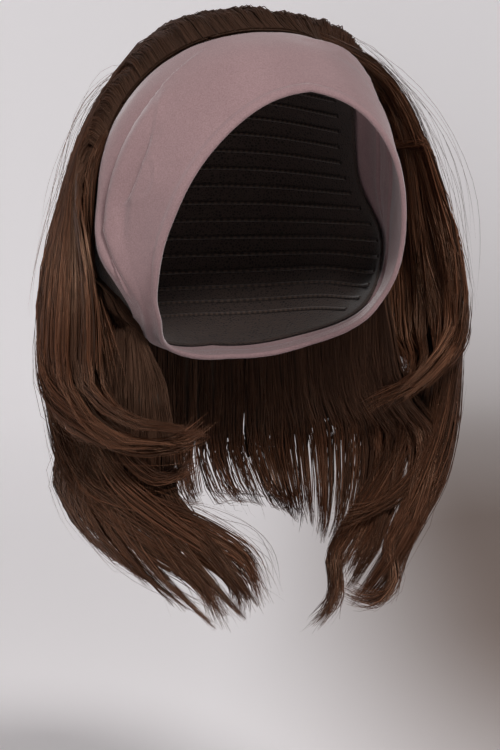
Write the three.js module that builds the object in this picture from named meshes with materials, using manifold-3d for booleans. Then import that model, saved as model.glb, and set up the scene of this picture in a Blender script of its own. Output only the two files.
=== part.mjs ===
// A half wig: a wide stretch headband, the thin cap sewn behind it, and two layers of long hair
// that hang from the cap. Millimetres, +Z up. The wearer faces -Y, so -X is the wearer's right.
// The origin is the highest point inside, where the band rests on the crown of the head.
import * as THREE from "three";
import { mergeVertices } from "three/addons/utils/BufferGeometryUtils.js";
import Module from "manifold-3d";

const wasm = await Module();
wasm.setup();

// Driving sizes.
// The head that the wig is made to fit, measured from its centre between the ears.
const HEAD_HALF_BREADTH = 79;
const HEAD_FRONT = 91;
const HEAD_BACK = 99;
const HEAD_ABOVE = 108;
const HEAD_BELOW = 78;
const HEAD_SQUARENESS = 2.3;
// The ear that the band covers and stands off.
const EAR_BACK = 12;
const EAR_BELOW = 20;
const EAR_LENGTH = 54;
const EAR_DEPTH = 36;
const EAR_STAND_OFF = 12;
// The band is a loop that leans forward at the crown.
const LOOP_LEAN = 28;
const BAND_WALL = 1.6;
const BAND_FRONT_HEM = 0.5;
const CAP_WALL = 1.2;
const CAP_TUCK = 5;
const CLEARANCE = 0.4;
// The hair. Reaches and drops in the tables are shares of these.
const HAIR_STAND_OUT = 43;
const HAIR_LIFT = 20;
const OUTER_DROP = 232;
const UNDER_DROP = 334;
const OUTER_LOCK_THICKNESS = 9;
const UNDER_LOCK_THICKNESS = 7;
const ROOT_THICKNESS = 3;
const PART_GAP = 2.4;
// A root keeps this share of the clearance from the cap.
const ROOT_CLEARANCE_SHARE = 0.9;
// Degrees about the upright axis for each step of 1 across a layer.
const LAYER_SPREAD = 95;

const HAIR_REACH = HEAD_HALF_BREADTH + HAIR_STAND_OUT;
const HAIR_SEAT = CAP_WALL + ROOT_CLEARANCE_SHARE * CLEARANCE + ROOT_THICKNESS / 2;

const centre = new THREE.Vector3(0, 0, -HEAD_ABOVE);
const radians = THREE.MathUtils.degToRad;
const wearerLeft = new THREE.Vector3(1, 0, 0);
const loopTop = new THREE.Vector3(0, -Math.sin(radians(LOOP_LEAN)), Math.cos(radians(LOOP_LEAN)));
const loopFront = new THREE.Vector3().crossVectors(loopTop, wearerLeft).negate();

// The band's edges round the loop. turn is degrees from the crown; front and rear are degrees
// off the loop's plane, towards the face. Both sides are alike but for BAND_SKEW.
const BAND_SKEW = 3.5;
const BAND_EDGES = [
  { turn: 0, front: 14, rear: -14.5 },
  { turn: 14, front: 16.5, rear: -16.2 },
  { turn: 33, front: 21.2, rear: -23.6 },
  { turn: 50, front: 25, rear: -27.4 },
  { turn: 66, front: 28.3, rear: -28.6 },
  { turn: 80, front: 30, rear: -25 },
  { turn: 90, front: 31, rear: -15 },
  { turn: 98, front: 31.2, rear: 0 },
  { turn: 108, front: 30.4, rear: 13 },
  { turn: 122, front: 29, rear: 16 },
  { turn: 150, front: 14.5, rear: -2 },
  { turn: 180, front: 8, rear: -10 },
];

// Shares of the band's width from its rear edge: where it comes down off the cap, and where the
// front hem swells.
const BAND_DOWN_SHARES = [0.4, 0.75];
const BAND_HEM_SHARES = [0.86, 1];
// The cap's edge reaches under at most this share of the band's width.
const CAP_TUCK_SHARE = 0.3;

// Pleats in the band. at and width are shares of the band's width from its rear edge, height is
// a share of its wall, and the pleat fades out between from and to along the loop.
// A hollow pleat is this share as deep outside as its table height.
const HOLLOW_SHARE = 0.3;
const BAND_PLEATS = [
  { from: -112, to: -34, at: 0.09, width: 0.11, height: 2.4 },
  { from: -106, to: -36, at: 0.25, width: 0.06, height: -1.9 },
  { from: -94, to: -40, at: 0.35, width: 0.06, height: 1.5 },
  { from: -88, to: -52, at: 0.46, width: 0.05, height: -0.8 },
  { from: 8, to: 110, at: 0.2, width: 0.16, height: 2.2 },
  { from: 14, to: 100, at: 0.42, width: 0.06, height: -1.8 },
];

// A row is one flow line of hair from its root to its tip, and the rows go round from the
// wearer's right to the left. Angles are degrees: root is the turn round the band's loop where
// the hair starts, back is how far behind the band it has risen to its lift, and about the
// upright axis, where 0 is the back and -90 the wearer's right, over, round, fall, bend and tip
// place the points below. height is the angle above level of the point over the crown. lift,
// puff and out are shares of HAIR_LIFT off the head. reach, close, mid and end are shares of
// HAIR_REACH off the upright axis, and low, curl and drop are shares of the layer's length.
const OUTER_FLOW = [
  { side: -1, root: -84, back: 4, lift: 0.6, over: -81, height: 4, puff: 0.8, round: -90, reach: 0.81, fall: -94, close: 0.81, low: 0.84, bend: -112, mid: 0.79, curl: 0.9, tip: -142, end: 0.72, drop: 0.92 },
  { side: -0.8, root: -68, back: 7, lift: 0.55, over: -60, height: 14, puff: 0.8, round: -75, reach: 0.87, fall: -78, close: 0.87, low: 0.83, bend: -98, mid: 0.83, curl: 0.955, tip: -124, end: 0.77, drop: 0.98 },
  { side: -0.5, root: -42, back: 11, lift: 0.5, over: -46, height: 26, puff: 0.8, round: -56, reach: 0.97, fall: -57, close: 0.96, low: 0.82, bend: -64, mid: 0.88, curl: 0.93, tip: -80, end: 0.8, drop: 0.94 },
  { side: -0.2, root: -16, back: 16, lift: 0.65, over: -18, height: 42, puff: 0.9, round: -20, reach: 0.98, fall: -20, close: 0.97, low: 0.86, bend: -24, mid: 0.93, curl: 0.95, tip: -30, end: 0.88, drop: 0.93 },
  { side: 0.2, root: 16, back: 15, lift: 0.6, over: 18, height: 42, puff: 0.85, round: 20, reach: 1.0, fall: 20, close: 0.98, low: 0.86, bend: 24, mid: 0.93, curl: 0.95, tip: 30, end: 0.88, drop: 0.93 },
  { side: 0.5, root: 42, back: 7, lift: 1.45, over: 54, height: 37, puff: 2.45, round: 56, reach: 1.04, fall: 57, close: 1.01, low: 0.79, bend: 61, mid: 0.98, curl: 0.85, tip: 66, end: 0.94, drop: 0.9 },
  { side: 0.8, root: 66, back: 4, lift: 1.7, over: 76, height: 31, puff: 2.3, round: 82, reach: 1.05, fall: 87, close: 1.02, low: 0.76, bend: 94, mid: 0.97, curl: 0.82, tip: 97, end: 0.88, drop: 0.87 },
  { side: 1, root: 82, back: 3, lift: 1.3, over: 92, height: 20, puff: 1.9, round: 99, reach: 1.07, fall: 100, close: 1.05, low: 0.74, bend: 103, mid: 0.92, curl: 0.82, tip: 106, end: 0.66, drop: 0.92 },
];

const UNDER_FLOW = [
  { side: -1, root: -86, height: -26, out: 0.2, round: -105, reach: 0.5, fall: -108, close: 0.49, low: 0.76, bend: -144, mid: 0.65, curl: 0.845, tip: -162, end: 0.69, drop: 0.955 },
  { side: -0.75, root: -80, height: -18, out: 0.25, round: -88, reach: 0.68, fall: -92, close: 0.73, low: 0.78, bend: -112, mid: 0.72, curl: 0.87, tip: -147, end: 0.72, drop: 1.0 },
  { side: -0.45, root: -52, height: -10, out: 0.3, round: -57, reach: 0.78, fall: -60, close: 0.9, low: 0.75, bend: -74, mid: 0.8, curl: 0.83, tip: -100, end: 0.74, drop: 0.87 },
  { side: -0.15, root: -18, height: -6, out: 0.3, round: -20, reach: 0.82, fall: -20, close: 0.84, low: 0.75, bend: -26, mid: 0.78, curl: 0.83, tip: -32, end: 0.68, drop: 0.83 },
  { side: 0.15, root: 18, height: -6, out: 0.3, round: 20, reach: 0.82, fall: 20, close: 0.84, low: 0.75, bend: 26, mid: 0.78, curl: 0.83, tip: 32, end: 0.68, drop: 0.83 },
  { side: 0.45, root: 50, height: -6, out: 0.4, round: 50, reach: 0.8, fall: 52, close: 0.9, low: 0.71, bend: 56, mid: 0.8, curl: 0.84, tip: 62, end: 0.62, drop: 0.9 },
  { side: 0.75, root: 74, height: -4, out: 0.6, round: 70, reach: 0.86, fall: 76, close: 0.98, low: 0.71, bend: 76, mid: 0.86, curl: 0.88, tip: 72, end: 0.62, drop: 1.0 },
  { side: 1, root: 86, height: -8, out: 0.7, round: 84, reach: 0.89, fall: 90, close: 1.05, low: 0.71, bend: 94, mid: 0.86, curl: 0.88, tip: 84, end: 0.68, drop: 1.0 },
];

// Degrees: how far behind the band the outer hair is sewn, and how far the under hair lies along
// the cap before it hangs free.
const ROOT_BEHIND = 3;
const ROOT_FALL = 18;
// Halfway from its widest place to where it falls, a flow line has drawn in by this share.
const DRAWN_IN_SHARE = 0.4;
// A layer is widest at this share of its length below the crown.
const WIDEST_SHARE = 0.61;
// Halfway along the cap, the under hair has lifted off by this share of its out.
const UNDER_LIFT_SHARE = 0.4;

// Each layer's panels, from the wearer's right to the left, with the locks that each is cut into.
const OUTER_PANELS = [
  { name: "outer_hair_right_side", from: -1, to: -0.64, locks: 4 },
  { name: "outer_hair_right_back", from: -0.64, to: -0.22, locks: 3 },
  { name: "outer_hair_back", from: -0.22, to: 0.22, locks: 4 },
  { name: "outer_hair_left_back", from: 0.22, to: 0.64, locks: 3 },
  { name: "outer_hair_left_side", from: 0.64, to: 1, locks: 4 },
];
const UNDER_PANELS = [
  { name: "under_hair_right_side", from: -1, to: -0.6, locks: 4 },
  { name: "under_hair_right_back", from: -0.6, to: -0.2, locks: 2 },
  { name: "under_hair_back", from: -0.2, to: 0.2, locks: 3 },
  { name: "under_hair_left_back", from: 0.2, to: 0.6, locks: 2 },
  { name: "under_hair_left_side", from: 0.6, to: 1, locks: 4 },
];

// Across one lock, from parting to parting: how far it swells, as a share of its thickness, and
// how far it reaches towards its tip.
const LOCK_PROFILE = [
  { swell: 0.35, reach: 0 },
  { swell: 0.85, reach: 0.75 },
  { swell: 1, reach: 1 },
  { swell: 0.85, reach: 0.75 },
];
const TIP_SHARE = 0.2;
const TIP_STAGGER = 0.05;
const TIP_THINNING = 0.25;
// The locks lie side by side down to this share of a flow line, and their tips are the rest.
const TIPS_FROM = 0.72;
const TIP_STEPS = 3;
// Shares of a lock's length: where it parts from its neighbours, thickens and thins out.
const LOCKS_PART = [0, 0.12];
const THICKENS = [0.3, 0.6];
const THINS = [0.7, 1];

// How finely the surfaces are cut.
const LOOP_STEPS = 56;
const BAND_STEPS = 8;
const CAP_STEPS = 7;
const LOCK_STEPS = 11;

const smooth = THREE.MathUtils.smoothstep;
const mix = THREE.MathUtils.lerp;

// A smooth value at x from a table that is sorted by its key column.
function fromTable(table, key, column, x) {
  const last = table.length - 1;
  let i = 0;
  while (i < last - 1 && x > table[i + 1][key]) i += 1;
  const slope = (j) => {
    const a = table[Math.max(j - 1, 0)];
    const b = table[Math.min(j + 1, last)];
    return (b[column] - a[column]) / (b[key] - a[key]);
  };
  const span = table[i + 1][key] - table[i][key];
  const s = THREE.MathUtils.clamp((x - table[i][key]) / span, 0, 1);
  const start = table[i][column];
  const rise = table[i + 1][column] - start;
  const from = slope(i) * span;
  const to = slope(i + 1) * span;
  return start + s * (from + s * (3 * rise - 2 * from - to + s * (from + to - 2 * rise)));
}

// The head's skin in a direction from its centre, moved outwards by offset.
function headPoint(direction, offset = 0) {
  const d = direction.clone().normalize();
  const depth = d.y < 0 ? HEAD_FRONT : HEAD_BACK;
  const height = d.z > 0 ? HEAD_ABOVE : HEAD_BELOW;
  const shares = [d.x / HEAD_HALF_BREADTH, d.y / depth, d.z / height];
  const sum = shares.reduce((total, share) => total + Math.abs(share) ** HEAD_SQUARENESS, 0);
  const skin = sum ** (-1 / HEAD_SQUARENESS);
  const p = d.clone().multiplyScalar(skin);
  const alongEar = (p.z + EAR_BELOW) / (EAR_LENGTH / 2);
  const acrossEar = (p.y - EAR_BACK) / (EAR_DEPTH / 2);
  const sideways = Math.min(Math.abs(p.x) / HEAD_HALF_BREADTH, 1) ** 3;
  const ear = EAR_STAND_OFF * sideways * Math.exp(-(alongEar ** 2) - acrossEar ** 2);
  return d.multiplyScalar(skin + ear + offset).add(centre);
}

// A direction by the loop's own angles: turn round from the crown, and tip towards the face.
function loopDirection(turn, tip) {
  const a = radians(turn);
  const b = radians(tip);
  return new THREE.Vector3()
    .addScaledVector(loopTop, Math.cos(a) * Math.cos(b))
    .addScaledVector(wearerLeft, Math.sin(a) * Math.cos(b))
    .addScaledVector(loopFront, Math.sin(b));
}

// A direction by plain angles: round from the back about the upright axis, and height above level.
function uprightDirection(round, height) {
  const a = radians(round);
  const b = radians(height);
  return new THREE.Vector3(Math.sin(a) * Math.cos(b), Math.cos(a) * Math.cos(b), Math.sin(b));
}

function wrapped(turn) {
  return turn > 180 ? turn - 360 : turn;
}

function bandEdge(turn, edge) {
  const skew = BAND_SKEW * Math.sin(radians(turn));
  return fromTable(BAND_EDGES, "turn", edge, Math.abs(wrapped(turn))) + skew;
}

// How far the pleats lift the band at a share of its width from the rear edge.
function pleatLift(turn, share) {
  return BAND_PLEATS.reduce((lift, pleat) => {
    const middle = (pleat.from + pleat.to) / 2;
    const half = (pleat.to - pleat.from) / 2;
    const along = Math.max(0, 1 - ((wrapped(turn) - middle) / half) ** 2);
    const across = Math.exp(-(((share - pleat.at) / pleat.width) ** 2));
    return lift + pleat.height * BAND_WALL * along * across;
  }, 0);
}

// A closed body from rings of equal length. Each ring runs out along one side of a wall and back
// along the other, so an end is closed by a strip between its two sides.
function bodyFromRings(rings, closedRound) {
  const points = rings.flat();
  const around = rings[0].length;
  const at = (i, j) => (i % rings.length) * around + (j % around);
  const faces = [];
  const spans = closedRound ? rings.length : rings.length - 1;
  for (let i = 0; i < spans; i += 1) {
    for (let j = 0; j < around; j += 1) {
      const [a, b, c, d] = [at(i, j), at(i + 1, j), at(i + 1, j + 1), at(i, j + 1)];
      // Both sides of the wall are cut along the same diagonals, so a twisted wall stays whole.
      if (closedRound || j < around / 2) faces.push(a, b, c, a, c, d);
      else faces.push(a, b, d, b, c, d);
    }
  }
  if (closedRound) return solidFrom(points, faces);
  const last = rings.length - 1;
  for (let j = 0; j < around / 2 - 1; j += 1) {
    const back = around - 1 - j;
    faces.push(at(0, j), at(0, j + 1), at(0, back - 1), at(0, j), at(0, back - 1), at(0, back));
    faces.push(at(last, j), at(last, back - 1), at(last, j + 1));
    faces.push(at(last, j), at(last, back), at(last, back - 1));
  }
  return solidFrom(points, faces);
}

function solidFrom(points, faces) {
  const geometry = new THREE.BufferGeometry().setFromPoints(points);
  geometry.setIndex(faces);
  const merged = mergeVertices(geometry, 1e-4);
  const triVerts = new Uint32Array(merged.index.array);
  const vertProperties = merged.attributes.position.array;
  const solid = new wasm.Manifold(new wasm.Mesh({ numProp: 3, vertProperties, triVerts }));
  if (solid.volume() > 0) return solid;
  for (let i = 0; i < triVerts.length; i += 3) triVerts.subarray(i, i + 3).reverse();
  return new wasm.Manifold(new wasm.Mesh({ numProp: 3, vertProperties, triVerts }));
}

function largestPiece(solid) {
  return solid.decompose().reduce((best, piece) => (piece.volume() > best.volume() ? piece : best));
}

function geometryFrom(solid) {
  const { vertProperties, triVerts, numProp } = solid.getMesh();
  const geometry = new THREE.BufferGeometry();
  const points = new Float32Array((vertProperties.length / numProp) * 3);
  for (let i = 0; i < points.length / 3; i += 1) {
    points.set(vertProperties.subarray(i * numProp, i * numProp + 3), i * 3);
  }
  geometry.setAttribute("position", new THREE.BufferAttribute(points, 3));
  geometry.setIndex(new THREE.BufferAttribute(triVerts, 1));
  geometry.computeVertexNormals();
  return geometry;
}

// The headband: one section of the fabric's wall for each step round the loop. Grown by a
// clearance, it is what the hair is cut back from.
function headband(grow = 0) {
  const rings = [];
  for (let i = 0; i < LOOP_STEPS; i += 1) {
    const turn = (360 * i) / LOOP_STEPS;
    const past = THREE.MathUtils.radToDeg(grow / HEAD_HALF_BREADTH);
    const front = bandEdge(turn, "front") + past;
    const rear = bandEdge(turn, "rear") - past;
    const outside = [];
    const inside = [];
    for (let k = 0; k <= BAND_STEPS; k += 1) {
      const share = k / BAND_STEPS;
      const direction = loopDirection(turn, mix(rear, front, share));
      const overCap = (CAP_WALL + CLEARANCE) * (1 - smooth(share, ...BAND_DOWN_SHARES));
      const under = overCap + Math.max(pleatLift(turn, share), 0);
      const dent = Math.min(pleatLift(turn, share), 0) * HOLLOW_SHARE;
      const hem = BAND_FRONT_HEM * smooth(share, ...BAND_HEM_SHARES);
      outside.push(headPoint(direction, under + BAND_WALL + hem + dent + grow));
      inside.push(headPoint(direction, under - grow));
    }
    rings.push([...outside, ...inside.reverse()]);
  }
  return bodyFromRings(rings, true);
}

// The cap: a thin dome whose front edge is tucked under the band's rear edge.
function wigCap(grow = 0) {
  const skin = (offset) => {
    const rows = [];
    for (let k = 0; k < CAP_STEPS; k += 1) {
      const row = [];
      for (let i = 0; i < LOOP_STEPS / 2; i += 1) {
        const turn = (720 * i) / LOOP_STEPS;
        const edge = bandEdge(turn, "rear") + tuck(turn);
        row.push(headPoint(loopDirection(turn, mix(edge, -90, k / CAP_STEPS)), offset));
      }
      rows.push(row);
    }
    return rows;
  };
  const around = LOOP_STEPS / 2;
  const outer = skin(CAP_WALL + grow);
  const inner = skin(-grow);
  const points = [...outer.flat(), ...inner.flat()];
  const insideFrom = outer.length * around;
  const faces = [];
  const at = (k, i, start = 0) => start + k * around + (i % around);
  for (let i = 0; i < around; i += 1) {
    for (let k = 0; k < CAP_STEPS - 1; k += 1) {
      faces.push(at(k, i), at(k, i + 1), at(k + 1, i + 1), at(k, i), at(k + 1, i + 1), at(k + 1, i));
      const [a, b] = [at(k, i, insideFrom), at(k, i + 1, insideFrom)];
      const [c, d] = [at(k + 1, i + 1, insideFrom), at(k + 1, i, insideFrom)];
      faces.push(a, c, b, a, d, c);
    }
    faces.push(at(0, i), at(0, i, insideFrom), at(0, i + 1, insideFrom));
    faces.push(at(0, i), at(0, i + 1, insideFrom), at(0, i + 1));
  }
  const outerPole = points.push(headPoint(loopDirection(0, -90), CAP_WALL + grow)) - 1;
  const innerPole = points.push(headPoint(loopDirection(0, -90), -grow)) - 1;
  const lastRow = CAP_STEPS - 1;
  for (let i = 0; i < around; i += 1) {
    faces.push(at(lastRow, i), at(lastRow, i + 1), outerPole);
    faces.push(at(lastRow, i + 1, insideFrom), at(lastRow, i, insideFrom), innerPole);
  }
  return solidFrom(points, faces);
}

// How far the cap's edge reaches under the band, in degrees, never past the narrow part's middle.
function tuck(turn) {
  return Math.min(CAP_TUCK, (bandEdge(turn, "front") - bandEdge(turn, "rear")) * CAP_TUCK_SHARE);
}

function cylinderPoint(round, reach, z) {
  const a = radians(round);
  return new THREE.Vector3(reach * Math.sin(a), reach * Math.cos(a), z);
}

// A flow line of a layer at a place from -1 to 1, as its guiding points.
function flowPoints(layer, side) {
  const row = (column) => fromTable(layer.flow, "side", column, side);
  const at = (round, reach, z) => cylinderPoint(row(round), reach * HAIR_REACH, z);
  const lowZ = -row("low") * layer.length;
  const wideZ = -WIDEST_SHARE * layer.length;
  const halfRound = (row("round") + row("fall")) / 2;
  const halfReach = mix(row("reach"), row("close"), DRAWN_IN_SHARE) * HAIR_REACH;
  return [
    ...layer.start(row),
    at("round", row("reach"), wideZ),
    cylinderPoint(halfRound, halfReach, (lowZ + wideZ) / 2),
    at("fall", row("close"), lowZ),
    at("bend", row("mid"), -row("curl") * layer.length),
    at("tip", row("end"), -row("drop") * layer.length),
  ];
}

// The point of a layer's middle surface at a place across it and a share along it.
function layerPoint(layer, side, along) {
  return new THREE.CatmullRomCurve3(flowPoints(layer, side), false, "centripetal").getPoint(along);
}

function layerNormal(layer, side, along) {
  const step = 0.02;
  const a = layerPoint(layer, side, Math.max(along - step, 0));
  const b = layerPoint(layer, side, Math.min(along + step, 1));
  const c = layerPoint(layer, side - step, along);
  const d = layerPoint(layer, side + step, along);
  return b.sub(a).cross(d.sub(c)).normalize().negate();
}

// A panel of hair: one wall of the layer between two places across it. Its root sits flat on the
// cap. It swells into a lock between each pair of partings, and its lower edge is cut into a tip
// for each lock.
function hairPanel(layer, panel, grow = 0) {
  const perMm = 1 / (HAIR_REACH * radians(LAYER_SPREAD));
  const from = panel.from + (PART_GAP / 2 - grow) * perMm;
  const to = panel.to - (PART_GAP / 2 - grow) * perMm;
  const columns = panel.locks * LOCK_PROFILE.length;
  const rings = [];
  for (let j = 0; j <= columns; j += 1) {
    const { swell, reach } = LOCK_PROFILE[j % LOCK_PROFILE.length];
    const side = mix(from, to, j / columns);
    const stagger = 0.5 + 0.5 * Math.sin(layer.stagger * Math.floor(j / LOCK_PROFILE.length));
    const end = 1 - TIP_SHARE * (1 - reach) - TIP_STAGGER * stagger * reach;
    const outside = [];
    const inside = [];
    for (let i = 0; i <= LOCK_STEPS; i += 1) {
      const intoTip = Math.max(i - LOCK_STEPS + TIP_STEPS, 0) / TIP_STEPS;
      const body = Math.min(i / (LOCK_STEPS - TIP_STEPS), 1) * TIPS_FROM;
      const along = intoTip > 0 ? mix(TIPS_FROM, end, intoTip) : body;
      const share = along / end;
      const full = mix(ROOT_THICKNESS, layer.thickness, smooth(share, ...THICKENS)) / 2;
      const thinned = mix(1, TIP_THINNING, smooth(share, ...THINS));
      const thick = full * mix(1, swell, smooth(share, ...LOCKS_PART)) * thinned + grow;
      const p = layerPoint(layer, side, along);
      const seated = p.clone().sub(centre).normalize();
      const normal = i === 0 ? seated : layerNormal(layer, side, along);
      outside.push(p.clone().addScaledVector(normal, thick));
      inside.push(p.clone().addScaledVector(normal, -thick));
    }
    rings.push([...outside, ...inside.reverse()]);
  }
  return bodyFromRings(rings, false);
}

const outerLayer = {
  flow: OUTER_FLOW,
  length: OUTER_DROP,
  thickness: OUTER_LOCK_THICKNESS,
  stagger: 2.4,
  // From behind the band's rear edge, up and over the crown.
  start(row) {
    const turn = row("root");
    const rear = bandEdge(turn, "rear");
    return [
      headPoint(loopDirection(turn, rear - ROOT_BEHIND), HAIR_SEAT),
      headPoint(loopDirection(turn, rear - row("back")), row("lift") * HAIR_LIFT),
      headPoint(uprightDirection(row("over"), row("height")), row("puff") * HAIR_LIFT),
    ];
  },
};

const underLayer = {
  flow: UNDER_FLOW,
  length: UNDER_DROP,
  thickness: UNDER_LOCK_THICKNESS,
  stagger: 1.7,
  // From a row of wefts low on the cap, close to the head.
  start(row) {
    const at = (lower, out) => {
      const direction = uprightDirection(row("root"), row("height") - lower);
      return headPoint(direction, HAIR_SEAT + out * HAIR_LIFT);
    };
    return [at(0, 0), at(ROOT_FALL / 2, row("out") * UNDER_LIFT_SHARE), at(ROOT_FALL, row("out"))];
  },
};

function material(colour, roughness) {
  return new THREE.MeshStandardMaterial({ color: colour, roughness, metalness: 0 });
}

const group = new THREE.Group();

function addPiece(name, solid, look) {
  const mesh = new THREE.Mesh(geometryFrom(solid), look);
  mesh.name = name;
  group.add(mesh);
}

const bandCloth = material(0x8f747a, 0.8);
const capNet = material(0x1c1410, 0.9);
const hairLook = material(0x3a241a, 0.5);

addPiece("headband", headband(), bandCloth);
addPiece("wig_cap", wigCap(), capNet);

// Each panel of hair is cut back from whatever it would meet under it or beside it.
const grownPieces = [headband(CLEARANCE), wigCap(CLEARANCE)];
for (const [layer, panels] of [[outerLayer, OUTER_PANELS], [underLayer, UNDER_PANELS]]) {
  for (const panel of panels) {
    let hair = hairPanel(layer, panel);
    for (const grown of grownPieces) {
      if (hair.intersect(grown).volume() > 0) hair = largestPiece(hair.subtract(grown));
    }
    addPiece(panel.name, hair, hairLook);
    grownPieces.push(hairPanel(layer, panel, CLEARANCE));
  }
}

export default group;
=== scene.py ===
# %% [markdown]
# # A half wig with a wide headband
# The real thing is a stretch headband with a thin cap sewn behind it. Long straight hair is sewn
# to the cap in two layers. This lesson dresses its plain solid model, the frame, for a render.
# The frame is loaded first. Nothing in it moves, so every new piece is placed by measurement.

import math

import bmesh
import bpy
import numpy as np
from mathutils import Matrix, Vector, noise


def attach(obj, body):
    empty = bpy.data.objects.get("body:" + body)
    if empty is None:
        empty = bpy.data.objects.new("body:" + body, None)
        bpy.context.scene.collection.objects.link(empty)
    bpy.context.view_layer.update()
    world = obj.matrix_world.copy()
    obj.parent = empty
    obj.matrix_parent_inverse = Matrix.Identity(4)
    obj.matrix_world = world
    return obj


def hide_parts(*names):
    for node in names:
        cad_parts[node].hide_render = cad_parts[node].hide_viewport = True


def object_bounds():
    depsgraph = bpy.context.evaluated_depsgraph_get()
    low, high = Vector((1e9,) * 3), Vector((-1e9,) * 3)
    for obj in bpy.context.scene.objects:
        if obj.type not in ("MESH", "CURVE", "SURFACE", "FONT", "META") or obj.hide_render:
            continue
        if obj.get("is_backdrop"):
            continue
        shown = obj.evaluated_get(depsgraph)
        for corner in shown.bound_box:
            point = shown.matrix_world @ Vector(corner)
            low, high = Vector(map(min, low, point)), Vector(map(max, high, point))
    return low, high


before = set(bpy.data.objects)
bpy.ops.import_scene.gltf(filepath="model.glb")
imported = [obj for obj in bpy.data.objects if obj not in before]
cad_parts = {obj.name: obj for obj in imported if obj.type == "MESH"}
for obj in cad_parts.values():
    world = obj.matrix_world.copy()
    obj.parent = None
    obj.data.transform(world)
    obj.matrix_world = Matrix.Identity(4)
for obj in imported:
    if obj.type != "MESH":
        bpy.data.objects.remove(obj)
cad_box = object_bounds()
print("nodes:", len(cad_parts), "box:", [[round(v, 3) for v in corner] for corner in cad_box])

# %% [markdown]
# The camera stands in front, a little to the wearer's right and a little above, and has a long
# lens, so the wig keeps its proportions. A wide lens from close by would swell the band. The lens
# follows from how much height the picture shows at the wig.

# %% Camera
AZIMUTH = math.radians(-28)
ELEVATION = math.radians(6)
CAMERA_DISTANCE = 2.0
PICTURE_HEIGHT = 0.4275
SENSOR = 36
LOOK_AT = Vector((0, 0, -0.194))

backwards = Vector((
    math.sin(AZIMUTH) * math.cos(ELEVATION),
    -math.cos(AZIMUTH) * math.cos(ELEVATION),
    math.sin(ELEVATION),
))
camera_data = bpy.data.cameras.new("camera")
camera_data.sensor_fit = "VERTICAL"
camera_data.sensor_height = SENSOR
camera_data.lens = SENSOR * CAMERA_DISTANCE / PICTURE_HEIGHT
camera = bpy.data.objects.new("camera", camera_data)
camera.location = LOOK_AT + backwards * CAMERA_DISTANCE
camera.rotation_euler = backwards.to_track_quat("Z", "Y").to_euler()
bpy.context.scene.collection.objects.link(camera)
bpy.context.scene.camera = camera
print("lens:", round(camera_data.lens, 1), "mm")

# %% [markdown]
# Cloth and hair both follow the head that the wig is made for. It is a rounded box: an ellipsoid
# with slightly squared sides and a bump at each ear. A sculpted head would do too, but a formula
# can be asked for its skin in any direction. The sizes are in millimetres, as on a pattern, and
# are turned to metres only when a mesh is made.

# %% The head's form
MM = 0.001
HEAD_HALF_BREADTH = 79
HEAD_FRONT = 91
HEAD_BACK = 99
HEAD_ABOVE = 108
HEAD_BELOW = 78
HEAD_SQUARENESS = 2.3
EAR_BACK = 12
EAR_BELOW = 20
EAR_LENGTH = 54
EAR_DEPTH = 36
EAR_STAND_OFF = 12
CENTRE = np.array([0.0, 0.0, -HEAD_ABOVE])


def unit(v):
    return v / np.maximum(np.linalg.norm(v, axis=-1, keepdims=True), 1e-9)


def smooth(x, start, end):
    share = np.clip((x - start) / (end - start), 0, 1)
    return share * share * (3 - 2 * share)


def mix(a, b, share):
    return a + (b - a) * share


def head_point(direction, offset=0.0):
    """The skin of the head in these directions, moved outwards by offset."""
    d = unit(direction)
    depth = np.where(d[..., 1] < 0, HEAD_FRONT, HEAD_BACK)
    height = np.where(d[..., 2] > 0, HEAD_ABOVE, HEAD_BELOW)
    total = (
        np.abs(d[..., 0] / HEAD_HALF_BREADTH) ** HEAD_SQUARENESS
        + np.abs(d[..., 1] / depth) ** HEAD_SQUARENESS
        + np.abs(d[..., 2] / height) ** HEAD_SQUARENESS
    )
    skin = total ** (-1 / HEAD_SQUARENESS)
    p = d * skin[..., None]
    along_ear = (p[..., 2] + EAR_BELOW) / (EAR_LENGTH / 2)
    across_ear = (p[..., 1] - EAR_BACK) / (EAR_DEPTH / 2)
    sideways = np.minimum(np.abs(p[..., 0]) / HEAD_HALF_BREADTH, 1) ** 3
    ear = EAR_STAND_OFF * sideways * np.exp(-(along_ear**2) - across_ear**2)
    return d * (skin + ear + offset)[..., None] + CENTRE


def upright_direction(turn, height):
    """Degrees: turn from the back about the upright axis, and height above level."""
    a, b = np.radians(turn), np.radians(height)
    return np.stack([np.sin(a) * np.cos(b), np.cos(a) * np.cos(b), np.sin(b)], -1)


crown = head_point(np.array([0.0, 0.0, 1.0]))
print("crown of the head at", np.round(crown, 1), "mm")

# %% [markdown]
# A pattern maker would write the wig's edges and flow lines in tables. A row is read between its
# neighbours by a smooth curve, so a few rows describe the whole edge.

# %% Tables


class Table:
    """Rows of numbers with named columns. The first column is the key that rows are read by."""

    def __init__(self, names, rows):
        columns = names.split()
        self.key = np.array([row[0] for row in rows], float)
        self.values = {n: np.array([r[i] for r in rows], float) for i, n in enumerate(columns)}

    def read(self, column, x):
        keys, values = self.key, self.values[column]
        last = len(keys) - 1
        i = np.clip(np.searchsorted(keys, x, "right") - 1, 0, last - 1)

        def slope(j):
            a, b = np.maximum(j - 1, 0), np.minimum(j + 1, last)
            return (values[b] - values[a]) / (keys[b] - keys[a])

        span = keys[i + 1] - keys[i]
        s = np.clip((x - keys[i]) / span, 0, 1)
        start, rise = values[i], values[i + 1] - values[i]
        leave, arrive = slope(i) * span, slope(i + 1) * span
        return start + s * (leave + s * (3 * rise - 2 * leave - arrive + s * (leave + arrive - 2 * rise)))


# %% [markdown]
# The band is a loop that leans forward at the crown, so its own angles are used: turn, round from
# the crown, and tip, towards the face. The table gives its front and rear edge.

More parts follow.
